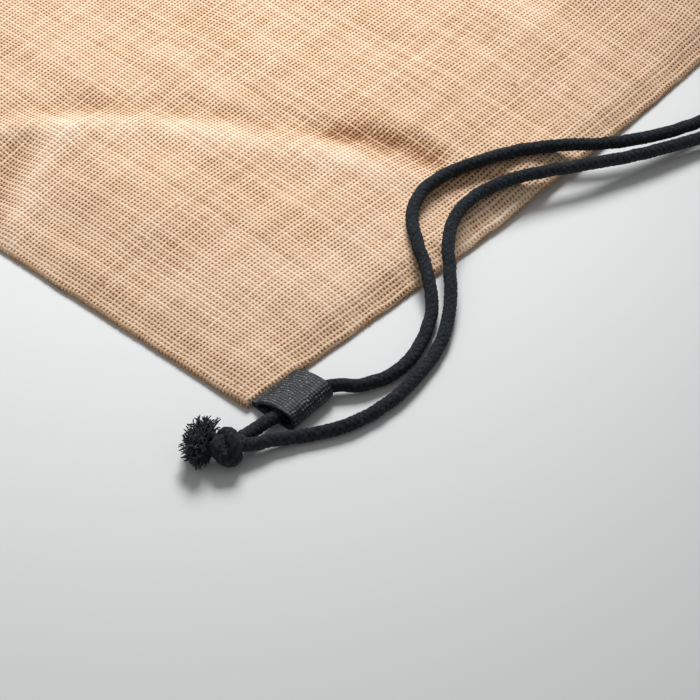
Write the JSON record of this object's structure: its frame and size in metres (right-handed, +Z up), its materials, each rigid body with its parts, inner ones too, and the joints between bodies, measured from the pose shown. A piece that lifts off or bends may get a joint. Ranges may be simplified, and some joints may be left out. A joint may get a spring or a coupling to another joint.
{
  "type": "drawstring bag",
  "caption": "Flat jute drawstring bag with doubled black drawcords, webbing loops at its lower corners and knotted, frayed cord ends.",
  "frame": {"origin": "on the table, under the middle of the bag without its free cords", "axes": "+X across the bag, to the right with the mouth away from the viewer, +Y from the bottom seam to the mouth, +Z up off the table"},
  "size_m": [0.4741, 0.4617, 0.0268],
  "materials": {
    "jute_cloth": "open plain weave of natural jute",
    "jute_thread": "spun sewing thread",
    "black_webbing": "coarse woven webbing",
    "black_cord": "soft braided cotton cord",
    "cord_yarn": "loose frayed yarn"
  },
  "bodies": {
    "bag": {"back_panel": "jute_cloth", "back_casing": "jute_cloth", "back_casing_thread": "jute_thread", "bottom_seam_allowance": "jute_cloth", "bottom_seam_thread": "jute_thread", "right_side_seam_allowance": "jute_cloth", "right_side_seam_thread": "jute_thread", "right_tab": "black_webbing", "right_strand_through_tab": "black_cord", "right_strand_beside_tab": "black_cord", "left_side_seam_allowance": "jute_cloth", "left_side_seam_thread": "jute_thread", "left_tab": "black_webbing", "left_strand_through_tab": "black_cord", "left_strand_beside_tab": "black_cord"},
    "front_mouth": {"front_panel": "jute_cloth", "front_casing": "jute_cloth", "front_casing_thread": "jute_thread"},
    "right_cord_end": {"right_knot": "black_cord", "right_frayed_ends": "cord_yarn"},
    "left_cord_end": {"left_knot": "black_cord", "left_frayed_ends": "cord_yarn"},
    "right_front_run": {"right_cord_front_run": "black_cord"},
    "left_front_run": {"left_cord_front_run": "black_cord"},
    "right_back_run": {"right_cord_back_run": "black_cord", "right_cord_bight": "black_cord"},
    "left_back_run": {"left_cord_back_run": "black_cord", "left_cord_bight": "black_cord"}
  },
  "joints": [
    {"name": "mouth_lift", "type": "hinge", "parent": "bag", "child": "front_mouth", "pos_m": [0, -0.21, 0.0045], "axis": [1, 0, 0], "range_deg": [0, 8]},
    {"name": "right_cord_pull", "type": "slide", "parent": "bag", "child": "right_cord_end", "axis": [0, -1, 0], "range_m": [-0.012, 0.01], "deforming": ["right_strand_through_tab", "right_strand_beside_tab"]},
    {"name": "right_front_draw", "type": "slide", "parent": "front_mouth", "child": "right_front_run", "axis": [1, 0, 0], "range_m": [-0.012, 0.01]},
    {"name": "right_back_draw", "type": "slide", "parent": "bag", "child": "right_back_run", "axis": [1, 0, 0], "range_m": [-0.012, 0.01], "deforming": ["right_cord_bight"]},
    {"name": "left_cord_pull", "type": "slide", "parent": "bag", "child": "left_cord_end", "axis": [0, -1, 0], "range_m": [-0.012, 0.01], "deforming": ["left_strand_through_tab", "left_strand_beside_tab"]},
    {"name": "left_front_draw", "type": "slide", "parent": "front_mouth", "child": "left_front_run", "axis": [-1, 0, 0], "range_m": [-0.012, 0.01]},
    {"name": "left_back_draw", "type": "slide", "parent": "bag", "child": "left_back_run", "axis": [-1, 0, 0], "range_m": [-0.012, 0.01], "deforming": ["left_cord_bight"]}
  ],
  "couplings": [
    {"joint": "right_front_draw", "follows": "right_cord_pull", "ratio": 1},
    {"joint": "right_back_draw", "follows": "right_cord_pull", "ratio": 1},
    {"joint": "left_front_draw", "follows": "left_cord_pull", "ratio": 1},
    {"joint": "left_back_draw", "follows": "left_cord_pull", "ratio": 1}
  ]
}
